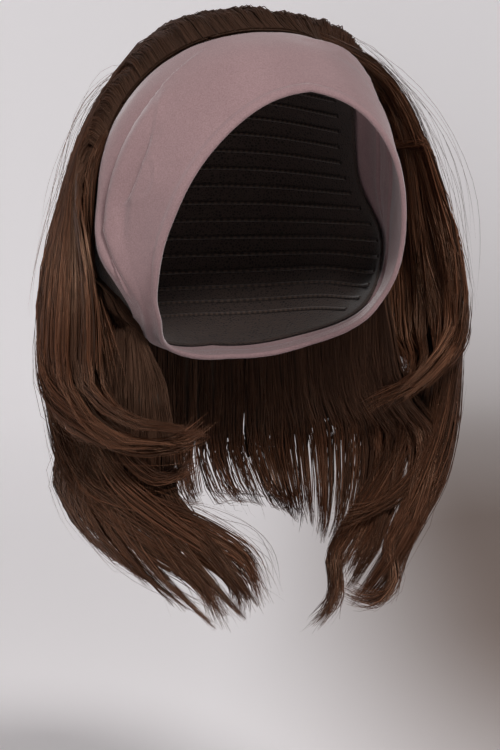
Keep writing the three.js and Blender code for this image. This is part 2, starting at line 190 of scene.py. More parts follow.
# %% The band's loop
LOOP_LEAN = math.radians(28)
BAND_SKEW = 3.5
LOOP_TOP = np.array([0, -math.sin(LOOP_LEAN), math.cos(LOOP_LEAN)])
LOOP_SIDE = np.array([1.0, 0.0, 0.0])
LOOP_FRONT = -np.cross(LOOP_TOP, LOOP_SIDE)
BAND_EDGES = Table("turn front rear", [
    (0, 14, -14.5), (14, 16.5, -16.2), (33, 21.2, -23.6), (50, 25, -27.4), (66, 28.3, -28.6),
    (80, 30, -25), (90, 31, -15), (98, 31.2, 0), (108, 30.4, 13), (122, 29, 16), (150, 14.5, -2),
    (180, 8, -10),
])


def loop_direction(turn, tip):
    a, b = np.radians(turn)[..., None], np.radians(tip)[..., None]
    return LOOP_TOP * np.cos(a) * np.cos(b) + LOOP_SIDE * np.sin(a) * np.cos(b) + LOOP_FRONT * np.sin(b)


def wrapped(turn):
    return (turn + 180) % 360 - 180


def band_edge(turn, edge):
    return BAND_EDGES.read(edge, np.abs(wrapped(turn))) + BAND_SKEW * np.sin(np.radians(turn))


crown_front, crown_rear = (float(band_edge(np.array(0.0), edge)) for edge in ("front", "rear"))
print("band at the crown:", round(crown_front - crown_rear, 1), "degrees wide")

# %% [markdown]
# Shader maths reads best as plain expressions. This small class wraps a socket, so that adding or
# multiplying wrapped values adds the Math nodes that do it.

# %% Sockets in Python maths


class Value:
    """A node socket that can be used in Python maths."""

    def __init__(self, material, socket):
        self.material, self.socket = material, socket

    def _maths(self, operation, *inputs):
        return self.material.node("ShaderNodeMath", {"operation": operation}, dict(enumerate(inputs)))

    def __add__(self, other):
        return self._maths("ADD", self, other)

    def __sub__(self, other):
        return self._maths("SUBTRACT", self, other)

    def __rsub__(self, other):
        return self._maths("SUBTRACT", other, self)

    def __mul__(self, other):
        return self._maths("MULTIPLY", self, other)

    def sine(self):
        return self._maths("SINE", self)

    __radd__, __rmul__ = __add__, __mul__


print("maths:", [name for name in vars(Value) if name.startswith("__r")], "are the reflected forms")

# %% [markdown]
# A finish is one material. Every node comes from one method, which takes the node's type, its
# settings and what goes into its sockets. The short methods after it name the uses that recur.

# %% A finish
UV_NAME = "OFBake"
OBJECT_PLACE = 3  # the Texture Coordinate node's Object output


class Finish:
    """A material with one Principled shader, and a method that adds any node."""

    def __init__(self, name, **constants):
        self.data = bpy.data.materials.new(name)
        self.data.use_nodes = True
        self.shader = self.data.node_tree.nodes["Principled BSDF"]
        self.surface(**constants)

    def node(self, kind, settings=None, inputs=None, output=0):
        made = self.data.node_tree.nodes.new(kind)
        for name, value in (settings or {}).items():
            if name == "stops":
                ramp = made.color_ramp
                while len(ramp.elements) < len(value):
                    ramp.elements.new(0.5)
                for element, (place, colour) in zip(ramp.elements, value):
                    element.position, element.color = place, (*colour, 1)
            else:
                setattr(made, name, value)
        for socket, value in (inputs or {}).items():
            self.feed(made.inputs[socket], value)
        return Value(self, made.outputs[output])

    def axis(self, vector, which):
        """One number of a vector: 0, 1 or 2 for x, y or z."""
        return self.node("ShaderNodeSeparateXYZ", None, {0: vector}, which)

    def own_map(self):
        return self.node("ShaderNodeUVMap", {"uv_map": UV_NAME})

    def own_place(self):
        return self.node("ShaderNodeTexCoord", output=OBJECT_PLACE)

    def ramp(self, value, *stops):
        """A colour that follows a value, from stops of place and colour."""
        return self.node("ShaderNodeValToRGB", {"stops": stops}, {0: value})

    def remap(self, value, low, high, new_low=0.0, new_high=1.0, **settings):
        return self.node("ShaderNodeMapRange", settings, {0: value, 1: low, 2: high, 3: new_low, 4: new_high})

    def fade(self, value, low, high):
        return self.remap(value, low, high, interpolation_type="SMOOTHSTEP")

    def noise(self, place, scale, detail):
        return self.node("ShaderNodeTexNoise", None, {"Vector": place, "Scale": scale, "Detail": detail})

    def bump(self, height, strength, distance):
        return self.node("ShaderNodeBump", None, {"Height": height, "Strength": strength, "Distance": distance})

    def feed(self, socket, value):
        if isinstance(value, Value):
            self.data.node_tree.links.new(value.socket, socket)
        else:
            socket.default_value = value

    def surface(self, **inputs):
        """Sets sockets of the shader, named in lower case with low lines."""
        for socket, value in inputs.items():
            self.feed(self.shader.inputs[socket.replace("_", " ").title().replace("Ior", "IOR")], value)


print("finish ready:", len([name for name in vars(Finish) if name[0] != "_"]), "methods")

# %% [markdown]
# Meshes are built from grids of points. A wall of cloth is one closed ring of points for each
# step along it, so its edges are rounded and nothing is left open.

# %% Mesh helpers


def mesh_piece(name, points, faces, material, uv=None):
    """A smooth mesh from points in millimetres. uv holds one pair for each face corner."""
    mesh = bpy.data.meshes.new(name)
    mesh.from_pydata((points * MM).tolist(), [], faces if isinstance(faces, list) else faces.tolist())
    mesh.update()
    if uv is not None:
        layer = mesh.uv_layers.new(name=UV_NAME)
        layer.data.foreach_set("uv", np.asarray(uv, float).ravel())
    mesh.materials.append(material)
    mesh.shade_smooth()
    piece = bpy.data.objects.new(name, mesh)
    bpy.context.scene.collection.objects.link(piece)
    return piece


def grid_faces(rows, columns, rows_meet, columns_meet):
    i = np.arange(rows if rows_meet else rows - 1)[:, None]
    j = np.arange(columns if columns_meet else columns - 1)[None, :]
    i2, j2 = (i + 1) % rows, (j + 1) % columns
    return np.stack([i * columns + j, i2 * columns + j, i2 * columns + j2, i * columns + j2], -1).reshape(-1, 4)


def outward(piece):
    """Turns a closed piece's faces outwards."""
    work = bmesh.new()
    work.from_mesh(piece.data)
    bmesh.ops.recalc_face_normals(work, faces=work.faces)
    work.to_mesh(piece.data)
    work.free()
    return piece


def size_of(piece):
    corners = np.array([v.co for v in piece.data.vertices])
    return np.round((corners.max(0) - corners.min(0)) / MM).astype(int).tolist()


print("mesh helpers ready")

# %% [markdown]
# The headband is a tube of soft jersey pressed flat, about 1.6 mm through. On the head it lies in
# shallow pleats over the ears, and its front edge is a plump fold. It could be a plane with a
# cloth simulation, but it is stretched over the head, so its shape is known: the head's form,
# raised by each pleat. The pleats and folds are rows of two tables. A turn is in degrees round
# the loop, and a place across goes from 0 at the rear edge to 1 at the front. A pleat's height
# counts in walls of cloth, because jersey doubled over itself is what makes it.

# %% Pleats and folds
BAND_WALL = 1.6
DEEPEST_DENT = -2.4
BAND_PLEATS = [  # from turn, to turn, place across, width, height in walls
    (-114, -30, 0.4, 0.34, 1.9), (-112, -34, 0.14, 0.1, 1.6), (-110, -34, 0.31, 0.055, -2.6),
    (-96, -36, 0.44, 0.06, 1.4), (-92, -46, 0.56, 0.05, -1.7), (8, 110, 0.2, 0.16, 2.2),
    (14, 100, 0.42, 0.06, -1.8),
    (-70, -10, 0.6, 0.07, 0.25), (20, 90, 0.62, 0.06, 0.3), (-120, -70, 0.7, 0.09, 0.35),
    (-30, 40, 0.35, 0.12, 0.22), (-176, -100, 0.5, 0.1, 0.6), (104, 176, 0.5, 0.1, 0.6),
]
BAND_FOLDS = [  # from turn, to turn, place across, width, height in millimetres
    (-114, -22, 0.36, 0.1, 3.6), (-94, -36, 0.6, 0.08, 2.2), (-80, -50, 0.74, 0.07, 0.8),
    (8, 122, 0.3, 0.12, 4.0), (34, 112, 0.55, 0.1, 1.8),
]


def pleat_lift(turn, share):
    """Round pleats, and folds that rise steeply at a crease and sink away in front of it."""
    lift = np.zeros(np.broadcast(turn, share).shape)

    def fading(start, end):
        return np.maximum(0, 1 - ((wrapped(turn) - (start + end) / 2) / ((end - start) / 2)) ** 2)

    for start, end, at, width, height in BAND_PLEATS:
        lift = lift + height * BAND_WALL * fading(start, end) * np.exp(-(((share - at) / width) ** 2))
    for start, end, at, width, height in BAND_FOLDS:
        past = share - mix(0.1, at, fading(start, end) ** 0.5)
        lift = lift + height * fading(start, end) ** 0.6 * (
            smooth(past, -0.004, 0.012) * np.exp(-np.maximum(past, 0) / width)
        )
    return np.maximum(lift, DEEPEST_DENT)


print("pleats:", len(BAND_PLEATS), "folds:", len(BAND_FOLDS))

# %% [markdown]
# The wall is a ring of points that goes across the outside, round the front edge, back across the
# inside and round the rear edge. That ring is repeated at each turn. Pleats raise both sides, but
# dents press the outside only, because the head is behind the cloth. Two sizes of noise add the
# slight unevenness that keeps cloth from looking like plastic.

# %% The band's wall
CAP_WALL = 1.2
CLEARANCE = 0.4
BAND_TURNS = 280
BAND_ACROSS = 84
EDGE_STEPS = 6
FRONT_HEM = 0.8
HEM_SHARES = 0.925, 0.97
CAP_UNDER_SHARES = 0.4, 0.75
BAND_OUT = 10
DENT_SHARE = 0.22
WIDE_CRINKLE = {"height": 0.35, "size": 16, "seed": 3}
FINE_CRINKLE = {"height": 0.1, "size": 5, "seed": 8}


def crinkle(points, height, size, seed):
    """Soft noise of this height at each point, with bumps of about this size in millimetres."""
    flat = points.reshape(-1, 3) / size
    values = [noise.noise(Vector(p) + Vector((seed, 0, 0))) for p in flat]
    return height * np.array(values).reshape(points.shape[:-1])


def band_points():
    share = np.concatenate([
        np.linspace(0, 1, BAND_ACROSS), np.ones(EDGE_STEPS),
        np.linspace(1, 0, BAND_ACROSS), np.zeros(EDGE_STEPS),
    ])
    bend = np.pi * np.arange(1, EDGE_STEPS + 1) / (EDGE_STEPS + 1)
    flat_side = np.ones(BAND_ACROSS)
    through = np.concatenate([flat_side, np.cos(bend), -flat_side, -np.cos(bend)])
    past = np.concatenate([0 * flat_side, np.sin(bend), 0 * flat_side, -np.sin(bend)])
    turn = (360 * np.arange(BAND_TURNS) / BAND_TURNS)[:, None]
    share, through, past = share[None], through[None], past[None]
    plump = BAND_WALL / 2 + FRONT_HEM * smooth(share, *HEM_SHARES)
    front, rear = band_edge(turn, "front"), band_edge(turn, "rear")
    tip = mix(rear, front, share) + past * np.degrees(plump / (HEAD_HALF_BREADTH + BAND_OUT))
    over_cap = (CAP_WALL + CLEARANCE) * (1 - smooth(share, *CAP_UNDER_SHARES))
    lift = pleat_lift(turn, share)
    raised = np.where(lift > 0, lift, lift * DENT_SHARE * (1 + through))
    turn = turn + 0 * share
    base = head_point(loop_direction(turn, tip))
    uneven = crinkle(base * [1, 1, 0.6], **WIDE_CRINKLE) + crinkle(base, **FINE_CRINKLE)
    offset = over_cap + raised + (1 + through) * (plump + uneven / 2)
    return head_point(loop_direction(turn, tip), offset)


points = band_points()
rows, columns = points.shape[:2]
print("band wall:", rows, "turns of", columns, "points")

# %% [markdown]
# Jersey is knitted. Close up it shows fine columns of stitches, from farther off only a soft
# speckle, and at grazing light a faint bloom, which the sheen gives. The knit follows the cloth,
# so it is drawn on the piece's own map, and the speckle is noise in space. The finished wall is
# then one closed mesh.

# %% Jersey and the headband
WALES = 560
COURSES = 190
u, v = np.meshgrid(np.arange(rows + 1) / rows, np.arange(columns + 1) / columns, indexing="ij")
corner_uv = np.stack([
    np.stack([u[a:rows + a, b:columns + b], v[a:rows + a, b:columns + b]], -1)
    for a, b in ((0, 0), (1, 0), (1, 1), (0, 1))
], 2)

jersey = Finish("mauve jersey", roughness=0.88, sheen_weight=0.32, sheen_roughness=0.4, specular_ior_level=0.25)
cloth, place = jersey.own_map(), jersey.own_place()
across, along = jersey.axis(cloth, 0), jersey.axis(cloth, 1)
knit = (across * (WALES * 2 * math.pi)).sine() * (along * (COURSES * 2 * math.pi)).sine()
speckle, mottle = jersey.noise(place, 1300, 2), jersey.noise(place, 28, 4)
jersey.surface(
    base_color=jersey.ramp(
        speckle * 0.75 + mottle * 0.25, (0.3, (0.160, 0.098, 0.100)), (0.7, (0.238, 0.153, 0.155))
    ),
    normal=jersey.bump(knit * 0.5 + speckle, 0.35, 0.0003),
)
band_faces = grid_faces(rows, columns, True, True)
band = outward(mesh_piece("headband_cloth", points.reshape(-1, 3), band_faces, jersey.data, corner_uv))
print("headband:", size_of(band), "mm")

# %% [markdown]
# The cap closes the back of the loop. It is a thin stretch net, gathered to a point behind the
# head, that the hair is sewn to. It could be a sphere cut by the band, but the band's edge is not
# flat, so the dome is drawn from that edge to the pole as two skins, an inner and an outer, which
# meet at the edge.

# %% The cap's skin
CAP_TUCK = 5
CAP_TUCK_SHARE = 0.3
CAP_TURNS = 160
CAP_ROWS = 44


def cap_direction(turn, down):
    """down is 0 at the edge under the band and 1 at the pole behind the head."""
    rear = band_edge(turn, "rear")
    edge = rear + np.minimum(CAP_TUCK, (band_edge(turn, "front") - rear) * CAP_TUCK_SHARE)
    return loop_direction(turn + 0 * down, mix(edge, -90, down))


turn = (360 * np.arange(CAP_TURNS) / CAP_TURNS)[None, :]
down = (np.arange(CAP_ROWS) / CAP_ROWS)[:, None]
outside = head_point(cap_direction(turn, down), CAP_WALL)
inside = head_point(cap_direction(turn, down), 0.0)
poles = head_point(loop_direction(np.zeros(2), np.full(2, -90.0)), np.array([CAP_WALL, 0.0]))
skin = np.concatenate([inside[::-1], outside]).reshape(-1, 3)
faces = grid_faces(2 * CAP_ROWS, CAP_TURNS, False, True).tolist()
last = (2 * CAP_ROWS - 1) * CAP_TURNS
for i in range(CAP_TURNS):
    after = (i + 1) % CAP_TURNS
    faces.append((last + i, last + after, len(skin)))
    faces.append((after, i, len(skin) + 1))
print("cap skin:", len(faces), "faces")

# %% [markdown]
# The net is a web of thin threads. Cutting real holes would take a million faces, so the cells
# are drawn: the distance to the edge of a cell tells thread from hole, in colour and in height.

# %% Net and the wig cap
net = Finish("dark stretch net", roughness=0.9, sheen_weight=0.1, specular_ior_level=0.2)
cells = net.node(
    "ShaderNodeTexVoronoi", {"feature": "DISTANCE_TO_EDGE"}, {"Vector": net.own_place(), "Scale": 620}
)
threads = net.remap(cells, 0.08, 0.32, 1.0, 0.0)
net.surface(
    base_color=net.ramp(threads, (0, (0.006, 0.004, 0.004)), (1, (0.034, 0.022, 0.018))),
    normal=net.bump(threads, 0.5, 0.0004),
)
cap = outward(mesh_piece("wig_cap_net", np.concatenate([skin, poles]), faces, net.data))
print("cap:", size_of(cap), "mm")

# %% [markdown]
# The hair hangs in two layers. Each row of these tables is one flow line of hair, from its root
# to its tip, and the rows go round from the wearer's right to the left. Angles are degrees, and
# the rest are shares of the named lengths, as on the plain model.

# %% Flow lines
HAIR_STAND_OUT = 43
HAIR_LIFT = 20
HAIR_REACH = HEAD_HALF_BREADTH + HAIR_STAND_OUT
OUTER_DROP = 232
UNDER_DROP = 334
ROOT_THICKNESS = 3
HAIR_SEAT = CAP_WALL + CLEARANCE + ROOT_THICKNESS / 2
ROOT_BEHIND = 3
ROOT_FALL = 18
OUTER_COLUMNS = "side root back lift over height puff round reach fall close low bend mid curl tip end drop"
OUTER_FLOW = Table(OUTER_COLUMNS, [
    (-1, -84, 4, 0.6, -81, 4, 0.8, -90, 0.81, -94, 0.81, 0.84, -112, 0.79, 0.9, -142, 0.72, 0.92),
    (-0.8, -68, 7, 0.55, -60, 14, 0.8, -75, 0.87, -78, 0.87, 0.83, -98, 0.83, 0.955, -124, 0.77, 0.98),
    (-0.5, -42, 11, 0.5, -46, 26, 0.8, -56, 0.97, -57, 0.96, 0.82, -64, 0.88, 0.93, -80, 0.8, 0.94),
    (-0.2, -16, 16, 0.65, -18, 42, 0.9, -20, 0.98, -20, 0.97, 0.86, -24, 0.93, 0.95, -30, 0.88, 0.93),
    (0.2, 16, 15, 0.6, 18, 42, 0.85, 20, 1.0, 20, 0.98, 0.86, 24, 0.93, 0.95, 30, 0.88, 0.93),
    (0.5, 42, 7, 1.45, 54, 37, 2.45, 56, 1.04, 57, 1.01, 0.79, 61, 0.98, 0.85, 66, 0.94, 0.9),
    (0.8, 66, 4, 1.7, 76, 31, 2.3, 82, 1.05, 87, 1.02, 0.76, 94, 0.97, 0.82, 97, 0.88, 0.87),
    (1, 82, 3, 1.3, 92, 20, 1.9, 99, 1.07, 100, 1.05, 0.74, 103, 0.92, 0.82, 106, 0.66, 0.92),
])
UNDER_FLOW = Table("side root height out round reach fall close low bend mid curl tip end drop", [
    (-1, -86, -26, 0.2, -105, 0.5, -108, 0.49, 0.76, -144, 0.65, 0.845, -162, 0.69, 0.955),
    (-0.75, -80, -18, 0.25, -88, 0.68, -92, 0.73, 0.78, -112, 0.72, 0.87, -147, 0.72, 1.0),
    (-0.45, -52, -10, 0.3, -57, 0.78, -60, 0.9, 0.75, -74, 0.8, 0.83, -100, 0.74, 0.87),
    (-0.15, -18, -6, 0.3, -20, 0.82, -20, 0.84, 0.75, -26, 0.78, 0.83, -32, 0.68, 0.83),
    (0.15, 18, -6, 0.3, 20, 0.82, 20, 0.84, 0.75, 26, 0.78, 0.83, 32, 0.68, 0.83),
    (0.45, 50, -6, 0.4, 50, 0.8, 52, 0.9, 0.71, 56, 0.8, 0.84, 62, 0.62, 0.9),
    (0.75, 74, -4, 0.6, 70, 0.86, 76, 0.98, 0.71, 76, 0.86, 0.88, 72, 0.62, 1.0),
    (1, 86, -8, 0.7, 84, 0.89, 90, 1.05, 0.71, 94, 0.86, 0.88, 84, 0.68, 1.0),
])
print("flow lines:", len(OUTER_FLOW.key), "outer,", len(UNDER_FLOW.key), "under")

# %% [markdown]
# A flow line runs through eight guiding points. The first three lie on the head, where the hair
# is combed over the crown or leaves the cap. The other five go down and round: the widest place,
# the fall, and the curl at the end.

# %% Guiding points
WIDEST_SHARE = 0.61
DRAWN_IN_SHARE = 0.4


def outer_start(row):
    rear = band_edge(row("root"), "rear")
    return [
        head_point(loop_direction(row("root"), rear - ROOT_BEHIND), HAIR_SEAT),
        head_point(loop_direction(row("root"), rear - row("back")), row("lift") * HAIR_LIFT),
        head_point(upright_direction(row("over"), row("height")), row("puff") * HAIR_LIFT),
    ]


def under_start(row):
    def at(lower, out):
        direction = upright_direction(row("root"), row("height") - lower)
        return head_point(direction, HAIR_SEAT + out * HAIR_LIFT)

    return [at(0, 0), at(ROOT_FALL / 2, row("out") * 0.4), at(ROOT_FALL, row("out"))]


OUTER = {"clump_seed": 5, "flow": OUTER_FLOW, "start": outer_start, "length": OUTER_DROP, "thick": 9}
UNDER = {"clump_seed": 6, "flow": UNDER_FLOW, "start": under_start, "length": UNDER_DROP, "thick": 7}


def round_point(turn, reach, z):
    a = np.radians(turn)
    return np.stack([reach * np.sin(a), reach * np.cos(a), z], -1)


def flow_points(layer, side):
    """The eight guiding points of the flow line at each place across a layer."""

    def row(column):
        return layer["flow"].read(column, side)

    low = -row("low") * layer["length"]
    wide = -WIDEST_SHARE * layer["length"] + 0 * side
    between = mix(row("reach"), row("close"), DRAWN_IN_SHARE) * HAIR_REACH
    return np.stack(layer["start"](row) + [
        round_point(row("round"), row("reach") * HAIR_REACH, wide),
        round_point((row("round") + row("fall")) / 2, between, (low + wide) / 2),
        round_point(row("fall"), row("close") * HAIR_REACH, low),
        round_point(row("bend"), row("mid") * HAIR_REACH, -row("curl") * layer["length"]),
        round_point(row("tip"), row("end") * HAIR_REACH, -row("drop") * layer["length"]),
    ])


print("guiding points:", len(flow_points(OUTER, np.zeros(1))), "on a flow line")

# %% [markdown]
# The guiding points lie unevenly. A plain cubic curve would loop where two come close, so the
# curve is centripetal: it spends its time on each span by the root of its length. The same
# function serves every line at once, and the styled locks later.

# %% Smooth lines through the points
NORMAL_STEP = 0.02


def through_points(guides, along):
    """A smooth curve through the guides, read at a share along it, for every flow line at once."""
    ends = 2 * guides[[0, -1]] - guides[[1, -2]]
    padded = np.concatenate([ends[:1], guides, ends[1:]])
    spans = len(guides) - 1
    i = np.clip(np.floor(along * spans).astype(int), 0, spans - 1)
    t = (along * spans - i)[..., None]
    each = np.indices(along.shape)
    p0, p1, p2, p3 = (padded[(i + k, *each)] for k in range(4))
    d0, d1, d2 = (
        np.maximum(np.linalg.norm(b - a, axis=-1, keepdims=True), 1e-4) ** 0.5
        for a, b in ((p0, p1), (p1, p2), (p2, p3))
    )
    leave = ((p1 - p0) / d0 - (p2 - p0) / (d0 + d1) + (p2 - p1) / d1) * d1
    arrive = ((p2 - p1) / d1 - (p3 - p1) / (d1 + d2) + (p3 - p2) / d2) * d1
    rise = p2 - p1
    return p1 + t * (leave + t * (3 * rise - 2 * leave - arrive + t * (leave + arrive - 2 * rise)))


def layer_point(layer, side, along):
    return through_points(flow_points(layer, side), np.clip(along, 0, 1))


def layer_normal(layer, side, along):
    down = layer_point(layer, side, along + NORMAL_STEP) - layer_point(layer, side, along - NORMAL_STEP)
    across = layer_point(layer, side + NORMAL_STEP, along) - layer_point(layer, side - NORMAL_STEP, along)
    return -unit(np.cross(down, across))


tips = layer_point(OUTER, np.linspace(-1, 1, 5), np.ones(5))
print("outer tips at z", np.round(tips[:, 2]).astype(int), "mm")

# %% [markdown]
# Each layer is made in five panels, as on the plain model, because that is how the hair is sewn
# and combed. A panel is a strip of its layer, from -1 at the wearer's right to 1 at the left.

# %% Panels
OUTER_PANELS = [  # name, from side, to side, locks, strands
    ("outer_hair_right_side", -1, -0.64, 4, 850), ("outer_hair_right_back", -0.64, -0.22, 3, 800),
    ("outer_hair_back", -0.22, 0.22, 4, 800), ("outer_hair_left_back", 0.22, 0.64, 3, 800),
    ("outer_hair_left_side", 0.64, 1, 4, 850),
]
UNDER_PANELS = [
    ("under_hair_right_side", -1, -0.6, 4, 950), ("under_hair_right_back", -0.6, -0.2, 2, 550),
    ("under_hair_back", -0.2, 0.2, 3, 550), ("under_hair_left_back", 0.2, 0.6, 2, 650),
    ("under_hair_left_side", 0.6, 1, 4, 1000),
]
panels = [(OUTER, panel) for panel in OUTER_PANELS] + [(UNDER, panel) for panel in UNDER_PANELS]
print("panels:", len(panels), "strands:", sum(panel[-1] for _, panel in panels))

# %% [markdown]
# Under the loose strands lies a backing, so that no light shines through a lock. More strands
# would close it too, but at many times the cost. It follows the same flow lines as a wall that
# swells between partings and ends in teeth. One function serves for all ten panels.

# %% Backing walls
BACKING_ROWS = 30
BACKING_COLUMNS = 12
BACKING_THICK = 0.45
BACKING_END = 0.78
TOOTH_DEPTH = 0.14
PARTING = 0.006
THINNEST_SWELL = 0.35
THICKENS = 0.3, 0.6


def half_thickness(layer, along):
    return mix(ROOT_THICKNESS, layer["thick"], smooth(along, *THICKENS)) / 2


def backing_panel(layer, start, end, locks):
    """The closed wall of one panel as rings of points, one ring for each column."""
    columns = locks * BACKING_COLUMNS + 1
    place = np.linspace(0, 1, columns)[:, None]
    side = mix(start + PARTING, end - PARTING, place)
    in_lock = np.abs(np.sin(np.pi * locks * place))
    reach = BACKING_END - TOOTH_DEPTH * np.random.default_rng(locks).random((columns, 1))
    along = reach * np.linspace(0, 1, BACKING_ROWS)[None, :]
    side = side + 0 * along
    swell = mix(THINNEST_SWELL, 1, in_lock**0.6)
    thick = half_thickness(layer, along) * BACKING_THICK * mix(1, swell, smooth(along, 0, 0.12))
    thick = thick * (1 - 0.85 * smooth(along / reach, 0.75, 1))
    middle, normal = layer_point(layer, side, along), layer_normal(layer, side, along)
    shift = normal * thick[..., None]
    return np.concatenate([middle + shift, (middle - shift)[:, ::-1]], axis=1)


backing_points, backing_faces, backing_uv = [], [], []
base, strip = 0, 1 / len(panels)
for number, (layer, (name, start, end, locks, _)) in enumerate(panels):
    rings = backing_panel(layer, start, end, locks)
    rows, columns = rings.shape[:2]
    faces = grid_faces(rows, columns, False, True)
    rim = [
        [(row * columns + j, row * columns + j + 1, row * columns + columns - 2 - j,
          row * columns + columns - 1 - j)[::step] for j in range(BACKING_ROWS - 1)]
        for row, step in ((0, 1), (rows - 1, -1))
    ]
    faces = np.concatenate([faces, *rim]) + base
    which = (faces - base) // columns
    lengthwise = (faces - base) % columns
    wraps = (lengthwise.max(1, keepdims=True) - lengthwise.min(1, keepdims=True)) > columns / 2
    lengthwise = np.where(wraps & (lengthwise < columns / 2), lengthwise + columns, lengthwise)
    uv = np.stack([(number + 0.05 + 0.9 * which / (rows - 1)) * strip, 0.02 + 0.96 * lengthwise / columns], -1)
    backing_points.append(rings.reshape(-1, 3))
    backing_faces.append(faces)
    backing_uv.append(uv)
    base += rows * columns

print("backing walls:", base, "points")

# %% [markdown]
# The backing shows only between strands, so it needs depth and not detail: dark streaks from a
# noise that is stretched along the hair. Each panel has its own strip of the map, and the under
# layer, which has the second half of it, lies in the shade of the outer one.

# %% Backing finish
UNDER_SHADE = 0.45
core = Finish("hair backing", roughness=0.55, specular_ior_level=0.25, specular_tint=(1.0, 0.72, 0.55, 1))
stretched = core.node("ShaderNodeMapping", None, {"Vector": core.own_map(), "Scale": (1400, 9, 1)})
streaks = core.noise(stretched, 1, 3)
in_shade = core.remap(core.axis(core.own_map(), 0), 0.49, 0.51, 1.0, UNDER_SHADE)
core.surface(
    base_color=core.ramp(
        streaks * in_shade,
        (0.25, (0.006, 0.0024, 0.0014)), (0.5, (0.017, 0.007, 0.004)), (0.75, (0.045, 0.019, 0.010)),
    ),
    normal=core.bump(streaks, 0.6, 0.0008),
)
backing = outward(mesh_piece(
    "hair_backing", np.concatenate(backing_points), np.concatenate(backing_faces), core.data,
    np.concatenate(backing_uv),
))
print("backing:", size_of(backing), "mm,", len(backing.data.polygons), "faces")

# %% [markdown]
# A strand is a thin tapered tube. Thousands of them follow the same rule, so Geometry Nodes make
# the tubes: each open line of points becomes a curve, and a three-sided outline is swept along
# it. The lines carry three numbers for each point: how thick the strand is, its shade, and how
# far along it lies. The last two are stored as a UV map, which is how the colour finds them.

# %% Tree of the strand tubes
POINT_VALUES = "thickness", "shade", "along"


def tube_tree(name):
    tree = bpy.data.node_groups.new(name, "GeometryNodeTree")
    for label, kind, way in (
        ("Lines", "NodeSocketGeometry", "INPUT"), ("Sides", "NodeSocketInt", "INPUT"),
        ("Thickness", "NodeSocketFloat", "INPUT"), ("Finish", "NodeSocketMaterial", "INPUT"),
        ("Tubes", "NodeSocketGeometry", "OUTPUT"),
    ):
        tree.interface.new_socket(label, in_out=way, socket_type=kind)

    def add(kind, inputs=None, **settings):
        made = tree.nodes.new(kind)
        for key, value in settings.items():
            setattr(made, key, value)
        for key, value in (inputs or {}).items():
            if isinstance(value, bpy.types.NodeSocket):
                tree.links.new(value, made.inputs[key])
            else:
                made.inputs[key].default_value = value
        return made

    given = add("NodeGroupInput")
    thick, shade, along = (
        add("GeometryNodeInputNamedAttribute", {"Name": label}, data_type="FLOAT").outputs[0]
        for label in POINT_VALUES
    )
    wide = add("ShaderNodeMath", {0: thick, 1: given.outputs["Thickness"]}, operation="MULTIPLY")
    place = add("ShaderNodeCombineXYZ", {0: shade, 1: along})
    curves = add("GeometryNodeMeshToCurve", {"Mesh": given.outputs["Lines"]})
    outline = add("GeometryNodeCurvePrimitiveCircle", {"Resolution": given.outputs["Sides"], "Radius": 1.0})
    swept = add("GeometryNodeCurveToMesh", {
        "Curve": curves.outputs[0], "Profile Curve": outline.outputs[0], "Scale": wide.outputs[0],
        "Fill Caps": True,
    })
    stored = add(
        "GeometryNodeStoreNamedAttribute",
        {"Geometry": swept.outputs[0], "Name": UV_NAME, "Value": place.outputs[0]},
        data_type="FLOAT2", domain="CORNER",
    )
    real = add("GeometryNodeRealizeInstances", {"Geometry": stored.outputs[0]})
    soft = add("GeometryNodeSetShadeSmooth", {"Geometry": real.outputs[0]})
    dressed = add(
        "GeometryNodeSetMaterial", {"Geometry": soft.outputs[0], "Material": given.outputs["Finish"]}
    )
    add("NodeGroupOutput", {0: dressed.outputs[0]})
    return tree


TUBES = tube_tree("strand tubes")
print("tube tree:", len(TUBES.nodes), "nodes")

# %% [markdown]
# To use the tree, the lines become a mesh of loose edges with the three numbers on its points. The
# modifier's inputs are set by each socket's identifier. The result is taken as a plain mesh, and
# the lines are removed.

# %% From lines to a piece


def tubes(name, lines, thickness, shade, along, finish, sides=3):
    """One piece of tubes from lines in millimetres, an array of (line, point, 3)."""
    count, steps = lines.shape[:2]
    first = np.arange(count * steps).reshape(count, steps)
    edges = np.stack([first[:, :-1], first[:, 1:]], -1).reshape(-1, 2)
    mesh = bpy.data.meshes.new(name + "_lines")
    mesh.from_pydata((lines.reshape(-1, 3) * MM).tolist(), edges.tolist(), [])
    for label, values in zip(POINT_VALUES, (thickness * MM, shade, along)):
        stored = mesh.attributes.new(label, "FLOAT", "POINT")
        stored.data.foreach_set("value", np.broadcast_to(values, (count, steps)).astype(np.float32).ravel())
    guide = bpy.data.objects.new(name + "_lines", mesh)
    bpy.context.scene.collection.objects.link(guide)
    modifier = guide.modifiers.new("tubes", "NODES")
    modifier.node_group = TUBES
    wanted = {"Sides": sides, "Thickness": 1.0, "Finish": finish}
    for socket in TUBES.interface.items_tree:
        if socket.in_out == "INPUT" and socket.name in wanted:
            modifier[socket.identifier] = wanted[socket.name]
    bpy.context.view_layer.update()
    evaluated = guide.evaluated_get(bpy.context.evaluated_depsgraph_get())
    made = bpy.data.meshes.new_from_object(evaluated)
    made.name = name
    bpy.data.objects.remove(guide)
    piece = bpy.data.objects.new(name, made)
    bpy.context.scene.collection.objects.link(piece)
    return piece


print("tubes end in:", [node.name for node in TUBES.nodes][-2:])

# %% [markdown]
# Inside the cap the hair is sewn on in level rows, and each shows as a narrow stitched tape. The
# tapes use the same tree with rounder tubes. Each row runs as far round as the net does, a little
# short of the band, and lies half sunk in the dome it is sewn to.

# %% Weft tapes
WEFT_ROWS = 17
WEFT_POINTS = 61
WEFT_RADIUS = 1.0
WEFT_SIDES = 8
WEFT_INSET = 0.4
SHORT_OF_BAND = 3
STITCHES = 420


